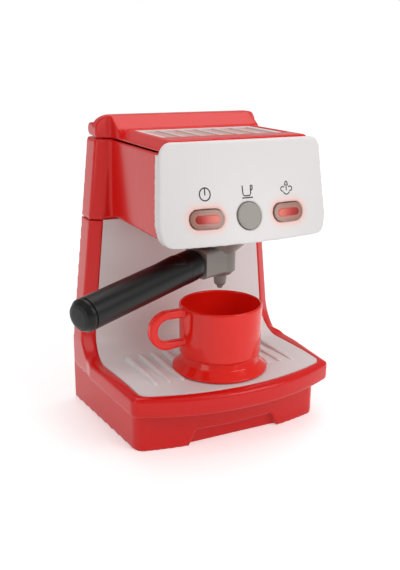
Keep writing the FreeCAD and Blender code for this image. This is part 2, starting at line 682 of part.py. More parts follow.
cover = column("cover", s.wall + s.fit_gap, 3, 250, cover_y, s.back_y)
speaker_slots = [box(f"speaker_slot_{n}", (-s.slot_half, s.slot_half), (cover_y - 1, s.back_y + 1),
                     (s.speaker_z + s.slot_pitch * n - s.slot_high / 2,
                      s.speaker_z + s.slot_pitch * n + s.slot_high / 2)) for n in range(-2, 3)]
cover_spots = back_spots + top_spots
cover_cuts = holes("cover_hole", [(x, cover_y - 1, z) for x, z in cover_spots], s.screw_radius + 0.2, 5, "y")
cover_cuts += holes("cover_sink", [(x, s.back_y - s.screw_head_high - 0.1, z) for x, z in cover_spots],
                    s.screw_head_radius + 0.3, 5, "y")
keep("back_cover", cut("cover_done", cover, *speaker_slots, *cover_cuts))
keep("speaker", fuse("speaker_sum",
                     rod("speaker_cone", s.speaker_radius, (0, cover_y - 7, s.speaker_z), 7, "y"),
                     rod("speaker_magnet", 10, (0, cover_y - 13, s.speaker_z), 7, "y")))

# Control panel


def bowed(name, shift, depth):
    """A leaning block with a bulged front face, moved back by shift and cut off at a depth."""
    rows = ((s.panel_bottom_z - 4, s.panel_bottom_y - 0.5, s.bow_bottom),
            (s.panel_wide_z + 6, s.panel_middle_y + 0.7, s.bow_middle),
            (s.panel_top_z + 4, s.panel_top_y + 0.5, s.bow_top))
    sections = []
    for n, (z, y, bow) in enumerate(rows, start=1):
        sections.append(draw(f"{name}_{n}", "XY", [
            (-82, y + depth), (-82, y + shift), Via(0, y + shift - bow), (82, y + shift),
            (82, y + depth)], z))
    block = doc.addObject("Part::Loft", name)
    block.Sections = sections
    block.Solid = True
    return block


def panel_outline(name, inset, top_inset, front, back):
    """Front view of the control panel: four straight sides with round corners."""
    top, bottom, bend = s.panel_top_z - top_inset, s.panel_bottom_z + inset, s.panel_corner - inset * 2
    high, low, wide = s.panel_top_half - inset, s.panel_bottom_half - inset, s.panel_wide_half - inset
    near = bend * 0.29
    left = [(-low + bend, bottom), Via(-low + near, bottom + near), (-low - 0.4, bottom + bend),
            (-wide, s.panel_wide_z), (-high - 1.4, top - bend), Via(-high + near - 0.7, top - near),
            (-high + bend, top)]
    right = [Via(-p.x, p.y) if isinstance(p, Via) else (-as_dim(p[0]), p[1]) for p in reversed(left)]
    return prism(name, "XZ", left + right, front, back)


face = common("panel_block", panel_outline("panel_outer", 0, 0, -105, -40), bowed("panel_bow", 0, s.panel_deep))
inside = common("panel_room", panel_outline("panel_inner", s.wall, -8, -105, -40),
                bowed("panel_bow_inner", s.wall, s.panel_deep + 6))
top_clear = box("panel_top_clear", (-90, 90), (s.lid_front_y - 0.9, -30), (s.head_top_z - 1, 275))
board_spots = [(x, z) for x in (-s.board_boss_x, s.board_boss_x)
               for z in (s.board_boss_low_z, s.board_boss_top_z)]
board_bosses = common("panel_bosses", fuse("panel_boss_rods", *[
    rod(f"board_boss_{n}", 3, (x, -95, z), 95 + s.board_front_y, "y")
    for n, (x, z) in enumerate(board_spots, start=1)]), bowed("panel_bow_bosses", 1.2, 40))
face = fuse("panel_fitted", cut("panel_shell", face, inside, top_clear), board_bosses)


def pill_block(name, x, grow, front, back, half=None, radius=None):
    half = (s.pill_half if half is None else half) + grow
    radius = (s.pill_radius if radius is None else radius) + grow
    return prism(name, "XZ", pill(half, radius, s.button_z, x), front, back)


panel_cuts = [pill_block(f"pill_hole_{n}", x, s.button_gap, -105, -65)
              for n, x in enumerate((-s.button_x, s.button_x), start=1)]
panel_cuts.append(rod("panel_collar_clear", s.collar_radius + 0.4, (0, s.group_y, 174), 12))
panel_cuts.append(rod("round_hole", s.round_radius + s.button_gap, (0, -105, s.button_z), 40, "y"))
panel_cuts += holes("board_pilot", [(x, -68, z) for x, z in board_spots], s.pilot_radius, 20, "y")
keep("front_panel", cut("panel_done", face, *panel_cuts))

# Buttons, lenses and their springs

front_skin = s.button_proud


def long_button(label, x):
    cap = common(f"{label}_cap", pill_block(f"{label}_pill", x, 0, -105, s.pill_flange_y + 0.5),
                 bowed(f"{label}_bow", -front_skin, 12))
    flange = pill_block(f"{label}_flange", x, s.flange_extra, s.pill_flange_y,
                        s.pill_flange_y + s.flange_thick)
    stems = [rod(f"{label}_stem_{n}", s.stem_radius, (x + side * s.stem_offset, s.pill_flange_y, s.button_z),
                 s.stem_end_y - s.pill_flange_y, "y") for n, side in enumerate((-1, 1), start=1)]
    slot = pill_block(f"{label}_slot", x, 0.05, -105, -65, s.lens_half, s.lens_radius)
    keep(label, cut(f"{label}_done", fuse(f"{label}_sum", cap, flange, *stems), slot))


def lens(label, x):
    keep(label, common(f"{label}_done", pill_block(f"{label}_pill", x, 0, -105, s.pill_flange_y + 1, s.lens_half, s.lens_radius),
                       bowed(f"{label}_bow", -front_skin - 0.5, 16)))


def coil(label, spots, start, turns):
    """Return springs: one helix each, ending flush with the board and the button."""
    coils = []
    span = s.board_front_y - start - s.spring_wire * 2
    for n, (x, z) in enumerate(spots, start=1):
        path = doc.addObject("Part::Helix", f"{label}_path_{n}")
        path.Radius = s.spring_radius.number
        path.Height = span.number
        path.Pitch = (span / turns).number
        bind(path, "Radius", s.spring_radius)
        bind(path, "Height", span)
        bind(path, "Pitch", span / turns)
        path.Placement.Rotation = TURNS["y"]
        place(path, x, start + s.spring_wire, z)
        wire = doc.addObject("Part::Circle", f"{label}_wire_{n}")
        wire.Radius = s.spring_wire.number
        bind(wire, "Radius", s.spring_wire)
        wire.Placement.Rotation = FreeCAD.Rotation()
        place(wire, as_dim(x) + s.spring_radius, start + s.spring_wire, z)
        sweep = doc.addObject("Part::Sweep", f"{label}_{n}")
        sweep.Sections = [wire]
        sweep.Spine = (path, ["Edge1"])
        sweep.Solid = True
        sweep.Frenet = True
        coils.append(sweep)
    if len(coils) == 1:
        keep(label, coils[0])
        return
    pair = doc.addObject("Part::Compound", f"{label}_pair")
    pair.Links = coils
    keep(label, pair)


flange_back = s.pill_flange_y + s.flange_thick
for label, x in (("power", -s.button_x), ("steam", s.button_x)):
    long_button(f"{label}_button", x)
    lens(f"{label}_lens", x)
    coil(f"{label}_button_spring", [(x - s.stem_offset, s.button_z), (x + s.stem_offset, s.button_z)],
         flange_back, s.spring_turns)
brew_cap = common("brew_cap", rod("brew_rod", s.round_radius, (0, -105, s.button_z), s.round_flange_y + 105.5, "y"),
                  bowed("brew_bow", -front_skin, 12))
brew_flange = rod("brew_flange", s.round_radius + s.flange_extra, (0, s.round_flange_y, s.button_z),
                  flange_back - s.round_flange_y, "y")
brew_stem = rod("brew_stem", s.stem_radius, (0, s.round_flange_y, s.button_z),
                s.round_stem_end_y - s.round_flange_y, "y")
keep("brew_button", fuse("brew_done", brew_cap, brew_flange, brew_stem))
coil("brew_button_spring", [(0, s.button_z)], flange_back, s.spring_turns)

# Circuit board with its switches and lamps

board = box("board_slab", (-s.board_half, s.board_half), (s.board_front_y, s.board_front_y + s.board_thick),
            (s.board_low_z, s.board_top_z))
keep("circuit_board", cut("board_done", board, *holes(
    "board_hole", [(x, s.board_front_y - 1, z) for x, z in board_spots], s.screw_radius + 0.2, 5, "y")))
switch_x = [-s.button_x + s.stem_offset, as_dim(0), s.button_x - s.stem_offset]
switch_parts = []
for n, x in enumerate(switch_x, start=1):
    body = box(f"switch_{n}", (x - s.switch_size / 2, x + s.switch_size / 2),
               (s.board_front_y - s.switch_body_deep, s.board_front_y),
               (s.button_z - s.switch_size / 2, s.button_z + s.switch_size / 2))
    plunger = rod(f"switch_plunger_{n}", 1.5, (x, s.plunger_tip_y, s.button_z), 1.5, "y")
    switch_parts.append(fuse(f"switch_fused_{n}", body, plunger))
group = doc.addObject("Part::Compound", "switch_group")
group.Links = switch_parts
keep("switches", group)
lamp_parts = []
for n, x in enumerate((-s.button_x, s.button_x), start=1):
    body = rod(f"lamp_{n}", s.lamp_radius, (x, s.board_front_y - 5, s.button_z), 5, "y")
    dome = doc.addObject("Part::Sphere", f"lamp_dome_{n}")
    dome.Radius = s.lamp_radius.number
    bind(dome, "Radius", s.lamp_radius)
    place(dome, x, s.board_front_y - 5, s.button_z)
    lamp_parts.append(fuse(f"lamp_fused_{n}", body, dome))
group = doc.addObject("Part::Compound", "lamp_group")
group.Links = lamp_parts
keep("lamps", group)

# Lid with its cup grille


def lid_plate(name, inset, low):
    front = s.lid_front_y + inset
    side = prism(f"{name}_side", "YZ", [(s.ridge_back_y - inset, low), (s.ridge_back_y - inset, s.lid_top_z - inset),
                                        (front + 3, s.lid_top_z - inset), (front + 0.8, s.lid_top_z - inset - 1.5),
                                        (front, s.lid_edge_z), (front, low)], -100, 100)
    half, flat = s.head_half - inset, s.lid_flat_half - inset * 0.4
    view = prism(f"{name}_view", "XZ", [(-half, low), (-half, s.lid_edge_z), (-flat, s.lid_top_z - inset),
                                        (flat, s.lid_top_z - inset), (half, s.lid_edge_z), (half, low)],
                 -100, 100)
    return common(name, side, view)


def lid_ridge(name, inset, low):
    foot = s.ridge_foot_y + inset * 1.2
    side = prism(f"{name}_side", "YZ", [
        (s.ridge_back_y - inset, low), (s.ridge_back_y - inset, s.ridge_top_z - 5),
        (s.ridge_top_back_y - inset * 0.5, s.ridge_top_z - inset), (s.ridge_top_front_y, s.ridge_top_z - inset),
        (foot, s.lid_top_z - inset), (foot, low)], -100, 100)
    half, top, bend = s.ridge_half - inset, s.ridge_top_z - inset, s.ridge_round - inset
    diagonal = bend * (1 - math.sqrt(0.5))
    view = prism(f"{name}_view", "XZ", [
        (-half, low), (-half, top - bend), Via(-half + diagonal, top - diagonal), (-half + bend, top),
        (half - bend, top), Via(half - diagonal, top - diagonal), (half, top - bend), (half, low)], -100, 100)
    narrow, front = s.head_half - inset, s.column_front_y + inset
    plan = prism(f"{name}_plan", "XY", [
        (-narrow, -10), (-narrow, front), (-narrow - 2.5, front), (-half - 0.5, front + 7.5), (-half - 0.5, 80),
        (half + 0.5, 80), (half + 0.5, front + 7.5), (narrow + 2.5, front), (narrow, front), (narrow, -10)],
        200, 300)
    return common(name, side, view, plan)


lid_low = s.head_top_z + s.lid_gap
lid = fuse("lid_outer", lid_plate("lid_plate", 0, lid_low), lid_ridge("lid_ridge", 0, lid_low))
lid_room = fuse("lid_room", lid_plate("lid_plate_room", s.wall, 250), lid_ridge("lid_ridge_room", s.wall, 250))
lid = cut("lid_shell", lid, lid_room)
grille_top = s.lid_top_z - s.grille_recess
grille_low = grille_top - s.grille_thick
frame_box = box("grille_ledge", (-s.grille_half - 2, s.grille_half + 2),
                (s.grille_front_y - 2, s.grille_back_y + 2), (grille_low - 1.8, s.lid_top_z - 1))
grille_seat = box("grille_seat", (-s.grille_half - 0.2, s.grille_half + 0.2),
                  (s.grille_front_y - 0.2, s.grille_back_y + 0.2), (grille_low, s.lid_top_z + 1))
grille_window = box("grille_window", (-s.grille_half + 2.5, s.grille_half - 2.5),
                    (s.grille_front_y + 2.5, s.grille_back_y - 2.5), (250, s.lid_top_z + 1))
arms = []
for n, side in enumerate((-1, 1), start=1):
    low_x = s.knuckle_in_x if side > 0 else -s.ridge_half
    high_x = s.ridge_half if side > 0 else -s.knuckle_in_x
    arms.append(rod(f"knuckle_{n}", s.knuckle_radius, (low_x, s.hinge_y, s.hinge_z),
                    s.ridge_half - s.knuckle_in_x, "x"))
    arms.append(box(f"knuckle_arm_{n}", (low_x, high_x), (s.ridge_back_y - 1.5, s.hinge_y),
                    (s.hinge_z - s.knuckle_radius, s.hinge_z + s.knuckle_radius)))
    pin_start = s.pin_end_x if side > 0 else -s.knuckle_in_x - 1
    arms.append(rod(f"hinge_pin_{n}", s.pin_radius, (pin_start, s.hinge_y, s.hinge_z),
                    s.knuckle_in_x + 1 - s.pin_end_x, "x"))
lid = cut("lid_open", fuse("lid_fitted", lid, frame_box, *arms), grille_seat, grille_window)
keep("lid_frame", lid)

grille = box("grille_slab", (-s.grille_half, s.grille_half), (s.grille_front_y, s.grille_back_y),
             (grille_low, grille_top))
slot_pitch = (s.grille_half * 2 - s.slot_margin * 2 - s.slot_wide) / (s.slot_count - 1)
slots = [box(f"grille_slot_{n}",
             (slot_pitch * (n - 2.5) - s.slot_wide / 2, slot_pitch * (n - 2.5) + s.slot_wide / 2),
             (s.grille_front_y + s.slot_margin, s.grille_back_y - s.slot_margin),
             (grille_low + s.slot_floor, grille_top + 1))
         for n in range(int(s.slot_count.number))]
keep("lid_grille", cut("grille_done", grille, *slots))

# Group collar under the head

collar = turned("collar_ring", [(s.bowl_radius + 0.4, s.collar_low_z), (s.collar_radius - 1, s.collar_low_z),
                                (s.collar_radius, s.collar_low_z + 1), (s.collar_radius, s.head_low_z),
                                (s.spigot_radius, s.head_low_z), (s.spigot_radius, s.spigot_top_z),
                                (s.spigot_radius - 2, s.spigot_top_z), (s.spigot_radius - 2, s.collar_roof_z),
                                (s.groove_radius, s.collar_roof_z), (s.groove_radius, s.groove_low_z),
                                (s.bowl_radius + 0.4, s.groove_low_z)], 0, s.group_y)
entry = common("collar_entry", box("collar_entry_bar", (-40, 40), (s.group_y - s.lug_half - 0.6,
                                                                  s.group_y + s.lug_half + 0.6),
                                   (s.collar_low_z - 1, s.groove_low_z + 0.5)),
               rod("collar_entry_limit", s.groove_radius, (0, s.group_y, s.collar_low_z - 2), 6))
keep("group_collar", cut("collar_done", collar, entry, *holes(
    "collar_pilot", [(x, y, s.head_low_z - 7) for x, y in collar_spots], s.pilot_radius, 8, "z")))

# Bowl, neck and spout

bevel = s.bowl_bevel
bowl = turned("bowl_outer", [(0, s.bowl_bottom_z), (s.bowl_low_radius - bevel, s.bowl_bottom_z),
                             (s.bowl_low_radius, s.bowl_bottom_z + bevel), (s.bowl_low_radius, s.bowl_waist_z),
                             (s.bowl_radius - 0.4, s.bowl_shoulder_z), (s.bowl_radius, s.bowl_shoulder_z + 3),
                             (s.bowl_radius, s.bowl_top_z), (0, s.bowl_top_z)], 0, s.group_y)
thick = s.bowl_wall
bowl_room = turned("bowl_room", [(0, s.bowl_bottom_z + 4), (s.bowl_low_radius - thick, s.bowl_bottom_z + 4),
                                 (s.bowl_low_radius - thick, s.bowl_waist_z + 0.8),
                                 (s.bowl_radius - thick - 0.4, s.bowl_shoulder_z + 0.8),
                                 (s.bowl_radius - thick, s.bowl_shoulder_z + 3),
                                 (s.bowl_radius - thick, s.bowl_top_z + 1), (0, s.bowl_top_z + 1)], 0, s.group_y)
lugs = common("bowl_lugs", box("lug_bar", (-40, 40), (s.group_y - s.lug_half, s.group_y + s.lug_half),
                               (s.groove_low_z + 0.4, s.collar_roof_z - 1.6)),
              rod("lug_limit", s.lug_radius, (0, s.group_y, s.collar_low_z), 10))
angle = s.handle_turn.number
droop = math.radians(s.handle_droop.number)
heading = math.radians(-90 - angle)
along = FreeCAD.Vector(math.cos(heading) * math.cos(droop), math.sin(heading) * math.cos(droop),
                       -math.sin(droop))
handle_turn = FreeCAD.Rotation(FreeCAD.Vector(0, 0, 1), along)


def aim(thing):
    """Points a solid built along Z down the handle's axis."""
    thing.Placement.Rotation = handle_turn
    place(thing, 0, s.group_y, s.handle_z)
    return thing


neck = box("neck_block", (0, s.neck_end), (-s.neck_half, s.neck_half), (s.neck_low_z, s.neck_top_z))
neck.Placement.Rotation = FreeCAD.Rotation(FreeCAD.Vector(0, 0, 1), -90 - angle)
side_way = FreeCAD.Vector(-math.sin(heading), math.cos(heading), 0)
neck.setExpression("Placement.Base.x", None)
neck.setExpression("Placement.Base.y", None)
neck.Placement.Base = FreeCAD.Vector(0, s.group_y.number, s.neck_low_z.number) - side_way * s.neck_half.number
neck = round_edges("neck_soft", neck, lambda e: e.Length > 30, 4)
core_hole = aim(turned("core_hole", [(0, s.core_start - 0.1), (s.core_radius + 0.05, s.core_start - 0.1),
                                     (s.core_radius + 0.05, 60), (0, 60)]))
bowl = fuse("bowl_sum", bowl, lugs, neck)
keep("portafilter_bowl", cut("bowl_done", bowl, bowl_room, core_hole,
                             rod("spout_hole", 3.05, (0, s.group_y, s.bowl_bottom_z - 1), 6)))
spout = turned("spout_done", [
    (s.spout_bore, s.spout_tip_z), (2.2, s.spout_tip_z), (s.tip_radius, s.spout_tip_z + 0.8),
    (s.tip_radius, s.tip_top_z), (s.spout_mid_radius - 1, s.tip_top_z),
    (s.spout_mid_radius, s.spout_shoulder_z), (s.spout_radius, s.bowl_bottom_z), (3, s.bowl_bottom_z),
    (3, s.bowl_bottom_z + 4), (s.spout_bore, s.bowl_bottom_z + 4)], 0, s.group_y)
keep("portafilter_spout", spout)

# Handle

gap = 0.05
keep("handle_core", aim(turned("core_rod", [(0, s.core_start), (s.core_radius, s.core_start),
                                            (s.core_radius, s.core_end), (0, s.core_end)])))
keep("handle_ferrule", aim(turned("ferrule", [
    (s.core_radius + gap, s.ferrule_start), (s.ferrule_radius - 2.5, s.ferrule_start),
    (s.ferrule_radius - 0.4, s.ferrule_start + 2.5), (s.ferrule_radius, s.ferrule_start + 7),
    (s.ferrule_radius, s.ferrule_end - 3), (s.grip_start_radius, s.ferrule_end),
    (s.core_radius + gap, s.ferrule_end)])))
keep("handle_grip", aim(turned("grip", [
    (s.core_radius + gap, s.ferrule_end), (s.grip_start_radius, s.ferrule_end),
    (s.grip_end_radius, s.grip_end), (s.grip_bore, s.grip_end), (s.grip_bore, s.core_end + 3),
    (s.core_radius + gap, s.core_end + 3)])))
keep("handle_end_cap", aim(turned("end_cap", [
    (0, s.grip_end - s.plug_long), (s.grip_bore - gap, s.grip_end - s.plug_long),
    (s.grip_bore - gap, s.grip_end), (s.grip_end_radius - 0.7, s.grip_end),
    (s.grip_end_radius - 0.7, s.grip_end + 1), (s.grip_end_radius, s.grip_end + 1),
    (s.grip_end_radius, s.grip_end + 3.5), (s.grip_end_radius - 2.6, s.cap_end - 1.2),
    (s.grip_end_radius - 5.5, s.cap_end - 0.3), (0, s.cap_end)])))

# Cup

body = turned("cup_wall", [
    (0, s.cup_joint_z - s.socket_deep), (s.socket_radius - gap, s.cup_joint_z - s.socket_deep),
    (s.socket_radius - gap, s.cup_joint_z), (s.cup_joint_radius, s.cup_joint_z),
    (s.cup_rim_radius, s.cup_rim_z - 1), (s.cup_rim_radius - 1, s.cup_rim_z),
    (s.cup_rim_radius - s.cup_wall + 0.4, s.cup_rim_z), (s.cup_rim_radius - s.cup_wall, s.cup_rim_z - 1),
    (s.cup_joint_radius - s.cup_wall, s.cup_joint_z + 4), (s.cup_joint_radius - s.cup_wall - 3, s.cup_joint_z + 1),
    (0, s.cup_joint_z)], 0, s.cup_y)
radius = s.loop_radius
loop = prism("loop_disc", "XZ", [(s.loop_x, s.loop_z - radius), Via(s.loop_x - radius, s.loop_z),
                                 (s.loop_x, s.loop_z + radius), (-s.cup_joint_radius + 1.5, s.loop_z + radius),
                                 (-s.cup_joint_radius + 1.5, s.loop_z - radius + 2)],
             s.cup_y - s.loop_half, s.cup_y + s.loop_half)
hole = s.loop_hole
loop_hole = prism("loop_gap", "XZ", [(s.loop_x, s.loop_z - hole), Via(s.loop_x - hole, s.loop_z),
                                     (s.loop_x, s.loop_z + hole), (-s.cup_joint_radius - 1, s.loop_z + hole),
                                     (-s.cup_joint_radius - 1, s.loop_z - hole)],
                  s.cup_y - 10, s.cup_y + 10)
keep("cup_body", fuse("cup_done", body, cut("loop", loop, loop_hole)))
neck_r = s.foot_neck_radius
keep("cup_foot", turned("foot", [
    (s.socket_radius, s.cup_joint_z - 2.4), (s.socket_radius, s.cup_joint_z), (neck_r, s.cup_joint_z),
    (neck_r - 0.4, s.cup_joint_z - 2), (neck_r + 1.4, s.cup_low_z + 8), (s.foot_radius - 3, s.cup_low_z + 4.2),
    (s.foot_radius, s.cup_low_z + 1.6), (s.foot_radius, s.cup_low_z), (s.foot_radius - s.foot_edge, s.cup_low_z),
    (s.foot_radius - 5, s.cup_low_z + 2), (neck_r - 1, s.cup_low_z + 6.2), (neck_r - 2.6, s.cup_joint_z - 2.4)],
    0, s.cup_y))

# Screws

screws("bottom_screws", [(x, y, 1.9) for x, y in bottom_spots], "z")
screws("door_screw", [(0, 21.5, 1.3)], "z", 1, s.short_screw_long)
screws("back_screws", [(x, s.back_y - s.screw_head_high - 0.1, z) for x, z in cover_spots], "y", -1)
screws("board_screws", [(x, s.board_front_y + s.board_thick, z) for x, z in board_spots], "y", -1)
screws("collar_screws", [(x, y, s.head_low_z + s.wall) for x, y in collar_spots], "z", -1,
       s.short_screw_long)

# Checks and STEP files

doc.recompute()
problems = []
for thing in doc.Objects:
    if "Invalid" in thing.State or "Error" in thing.State:
        problems.append(f"{thing.Name}: {thing.State}")
    shape = getattr(thing, "Shape", None)
    if shape is not None and (shape.isNull() or not shape.isValid()):
        problems.append(f"{thing.Name}: the shape is null or not valid")
for thing in finished:
    if not thing.Shape.Solids:
        problems.append(f"{thing.Label}: no solid")
if problems:
    raise RuntimeError("; ".join(problems[:12]))
os.makedirs("parts", exist_ok=True)
for thing in finished:
    thing.Shape.exportStep(f"parts/{thing.Label}.step")
    span = thing.Shape.BoundBox
    print(f"{thing.Label}: solids {len(thing.Shape.Solids)}, volume {thing.Shape.Volume:.0f}, "
          f"x {span.XMin:.1f}..{span.XMax:.1f}, y {span.YMin:.1f}..{span.YMax:.1f}, "
          f"z {span.ZMin:.1f}..{span.ZMax:.1f}")
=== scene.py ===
# %% [markdown]
# # Toy coffee maker
# A child's pretend espresso machine in red and white plastic. FreeCAD made every solid, and this
# script loads them as the frame, gives them their finishes, and adds what plastic mouldings have
# and plain solids do not: worn edges, crowned ribs, a crest on the grip and printed signs. It also
# paints a warm glow round two lamps into the plastic's colour.

# %% Tools and the frame
import math

import bmesh
import bpy
from mathutils import Matrix, Vector
from mathutils.bvhtree import BVHTree


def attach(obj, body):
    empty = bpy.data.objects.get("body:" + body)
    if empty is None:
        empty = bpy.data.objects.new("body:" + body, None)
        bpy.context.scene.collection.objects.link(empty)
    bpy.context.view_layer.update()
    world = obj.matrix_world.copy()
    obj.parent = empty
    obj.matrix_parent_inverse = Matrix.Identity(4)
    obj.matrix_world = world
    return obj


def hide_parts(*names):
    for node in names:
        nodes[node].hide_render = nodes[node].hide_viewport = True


MM = 0.001
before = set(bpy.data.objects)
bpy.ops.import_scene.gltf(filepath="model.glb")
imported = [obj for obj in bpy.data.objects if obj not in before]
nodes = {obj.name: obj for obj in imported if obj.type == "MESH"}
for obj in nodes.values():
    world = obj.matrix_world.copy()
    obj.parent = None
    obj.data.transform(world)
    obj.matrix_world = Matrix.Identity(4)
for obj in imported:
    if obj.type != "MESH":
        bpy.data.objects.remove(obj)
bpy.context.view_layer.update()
print(len(nodes), "CAD nodes loaded")

# %% [markdown]
# ## Shader maths as plain expressions
# A material is a graph of nodes. Writing each node by hand hides the idea, so one small class wraps
# a socket: adding or multiplying two wrapped sockets adds the Math node that does it.


# %% A socket that can be used in a formula
class Wire:
    """One output socket of a material, with arithmetic that adds Math nodes."""

    def __init__(self, tree, socket):
        self.tree, self.socket = tree, socket

    def node(self, kind, settings=(), **inputs):
        made = self.tree.nodes.new(kind)
        for key, value in dict(settings).items():
            setattr(made, key, value)
        for key, value in inputs.items():
            name = int(key[1:]) if key[0] == "i" and key[1:].isdigit() else key.replace("_", " ")
            if isinstance(value, Wire):
                self.tree.links.new(value.socket, made.inputs[name])
            else:
                made.inputs[name].default_value = value
        return made

    def math(self, operation, *values):
        inputs = {f"i{n}": value for n, value in enumerate(values)}
        return Wire(self.tree, self.node("ShaderNodeMath", {"operation": operation}, **inputs).outputs[0])

    def __add__(self, other):
        return self.math("ADD", self, other)

    def __sub__(self, other):
        return self.math("SUBTRACT", self, other)

    def __rsub__(self, other):
        return self.math("SUBTRACT", other, self)

    def __mul__(self, other):
        return self.math("MULTIPLY", self, other)

    def __truediv__(self, other):
        return self.math("DIVIDE", self, other)

    def __abs__(self):
        return self.math("ABSOLUTE", self)

    def largest(self, other):
        return self.math("MAXIMUM", self, other)

    def hypot(self, other):
        return self.math("SQRT", self * self + other * other)

    def fade(self, start, end):
        """1 at start, falling smoothly to 0 at end."""
        made = self.node("ShaderNodeMapRange", {"interpolation_type": "SMOOTHSTEP"}, i0=self,
                         i1=start, i2=end, i3=1.0, i4=0.0)
        return Wire(self.tree, made.outputs[0])

    __radd__ = __add__
    __rmul__ = __mul__


def place_axes(wire):
    """The X, Y and Z of each point of the object, in metres."""
    coords = wire.node("ShaderNodeTexCoord").outputs["Object"]
    split = wire.node("ShaderNodeSeparateXYZ", i0=Wire(wire.tree, coords))
    return [Wire(wire.tree, out) for out in split.outputs]


# %% [markdown]
# ## Moulded plastic
# Injection moulded toys are glossy, but their flat walls are never quite flat, and every edge is
# rounded so that it cannot hurt. The Bevel node rounds the shading of each edge by one or two
# millimetres, and a faint noise gives the slow wave that reflections show on thin walls. Both feed
# the Normal only, so the shape itself is left to the meshes further down.


# %% The moulded plastic finish
WAVE_SCALE, WAVE_DEPTH = 18.0, 0.01
COAT_ROUGHNESS = 0.12


def moulded(name, color, roughness, edge=0.8, wave=0.012, coat=0.0, mirror=0.5, tune=None):
    material = bpy.data.materials.new(name)
    material.use_nodes = True
    tree = material.node_tree
    shader = tree.nodes["Principled BSDF"]
    shader.inputs["Base Color"].default_value = (*color, 1)
    shader.inputs["Roughness"].default_value = roughness
    shader.inputs["Coat Weight"].default_value = coat
    shader.inputs["Coat Roughness"].default_value = COAT_ROUGHNESS
    shader.inputs["Specular IOR Level"].default_value = mirror
    start = Wire(tree, shader.outputs[0])
    soft = Wire(tree, start.node("ShaderNodeBevel", {"samples": 6}, Radius=edge * MM).outputs[0])
    spot = Wire(tree, start.node("ShaderNodeTexCoord").outputs["Object"])
    noise = Wire(tree, start.node("ShaderNodeTexNoise", Vector=spot, Scale=WAVE_SCALE, Detail=1.0).outputs[0])
    bump = start.node("ShaderNodeBump", Strength=wave, Distance=WAVE_DEPTH, Height=noise, Normal=soft)
    tree.links.new(bump.outputs[0], shader.inputs["Normal"])
    material.diffuse_color = (*color, 1)
    if tune:
        tune(start, shader)
    return material


def steel(name, color, roughness):
    """Plated steel, for screws, springs and contacts."""
    material = bpy.data.materials.new(name)
    material.use_nodes = True
    shader = material.node_tree.nodes["Principled BSDF"]
    shader.inputs["Base Color"].default_value = (*color, 1)
    shader.inputs["Metallic"].default_value = 1
    shader.inputs["Roughness"].default_value = roughness
    return material


def srgb(text):
    """Turns a hex colour into the linear numbers that shaders use."""
    parts = [int(text[n:n + 2], 16) / 255 for n in (0, 2, 4)]
    return tuple(p / 12.92 if p < 0.04045 else ((p + 0.055) / 1.055) ** 2.4 for p in parts)


# %% [markdown]
# ## The glow round the two lamps
# Behind each long button sits a red lamp, and the white plastic is thin enough to let some of its
# light out. That glow is painted in, as a red tint in the colour and a faint emission, in a soft
# stadium shape: the distance to a short line, faded to nothing.

# %% White panel with its glow
BUTTON_X, BUTTON_Z = 37.5 * MM, 203.5 * MM
STRAIGHT = 7 * MM


def painted_lamp_glow(start, shader, reach=0.0175, near=0.005, tint=(1.0, 0.30, 0.17), strength=0.55,
              shine=0.10):
    """Paints the lamps' glow round both lamps, from near out to reach, as a red tint in the colour and a
    little emission.
    """
    x, _, z = place_axes(start)
    along = (abs(abs(x) - BUTTON_X) - STRAIGHT).largest(0.0)
    glow = along.hypot(z - BUTTON_Z).fade(near, reach)
    base = tuple(shader.inputs["Base Color"].default_value)
    # painted glow: the lamp's red light is mixed into the base colour
    mix = start.node("ShaderNodeMix", {"data_type": "RGBA"})
    start.tree.links.new((glow * glow * strength).socket, mix.inputs[0])
    mix.inputs[6].default_value = base
    mix.inputs[7].default_value = (*tint, 1)
    start.tree.links.new(mix.outputs[2], shader.inputs["Base Color"])
    # painted glow: a faint emission of the same red, though the panel is no lamp
    shader.inputs["Emission Color"].default_value = (0, 0, 0, 1)
    shader.inputs["Emission Strength"].default_value = shine
    light = start.node("ShaderNodeMix", {"data_type": "RGBA"})
    start.tree.links.new((glow * glow).socket, light.inputs[0])
    light.inputs[6].default_value = (0, 0, 0, 1)
    light.inputs[7].default_value = (*tint, 1)
    start.tree.links.new(light.outputs[2], shader.inputs["Emission Color"])


# %% [markdown]
# ## Shaded slots of the cup grille
# The slots in the lid's white grille are shallow, and red light from the lid gathers in them. That light
# and shade is painted: a band of heights just over the slot floor is given a pinkish colour, and the
# grille's top and back stay white.

# %% Painted shade in the slots
SLOT_FLOOR = 262.0 * MM
ABOVE_FLOOR, UNDER_FLOOR, UNDER_END = 0.6 * MM, 0.3 * MM, 0.7 * MM


def slot_painted_shade(start, shader):
    _, _, z = place_axes(start)
    lower = z.fade(SLOT_FLOOR - UNDER_END, SLOT_FLOOR - UNDER_FLOOR)
    shaded_band = z.fade(SLOT_FLOOR, SLOT_FLOOR + ABOVE_FLOOR) * (1.0 - lower)
    # painted shade and red bounce light: a pinkish grey colour in the band over the slot floor
    mix = start.node("ShaderNodeMix", {"data_type": "RGBA"}, i0=shaded_band)
    mix.inputs[6].default_value = tuple(shader.inputs["Base Color"].default_value)
    mix.inputs[7].default_value = (*srgb("CDA9A3"), 1)
    start.tree.links.new(mix.outputs[2], shader.inputs["Base Color"])


# %% [markdown]
# ## The plastics of the toy
# One red for the casing and a brighter, glossier one for the cup, a cool white, two greys and a near
# black. The cup lets light through its thin wall, so a little light scatters under its surface.

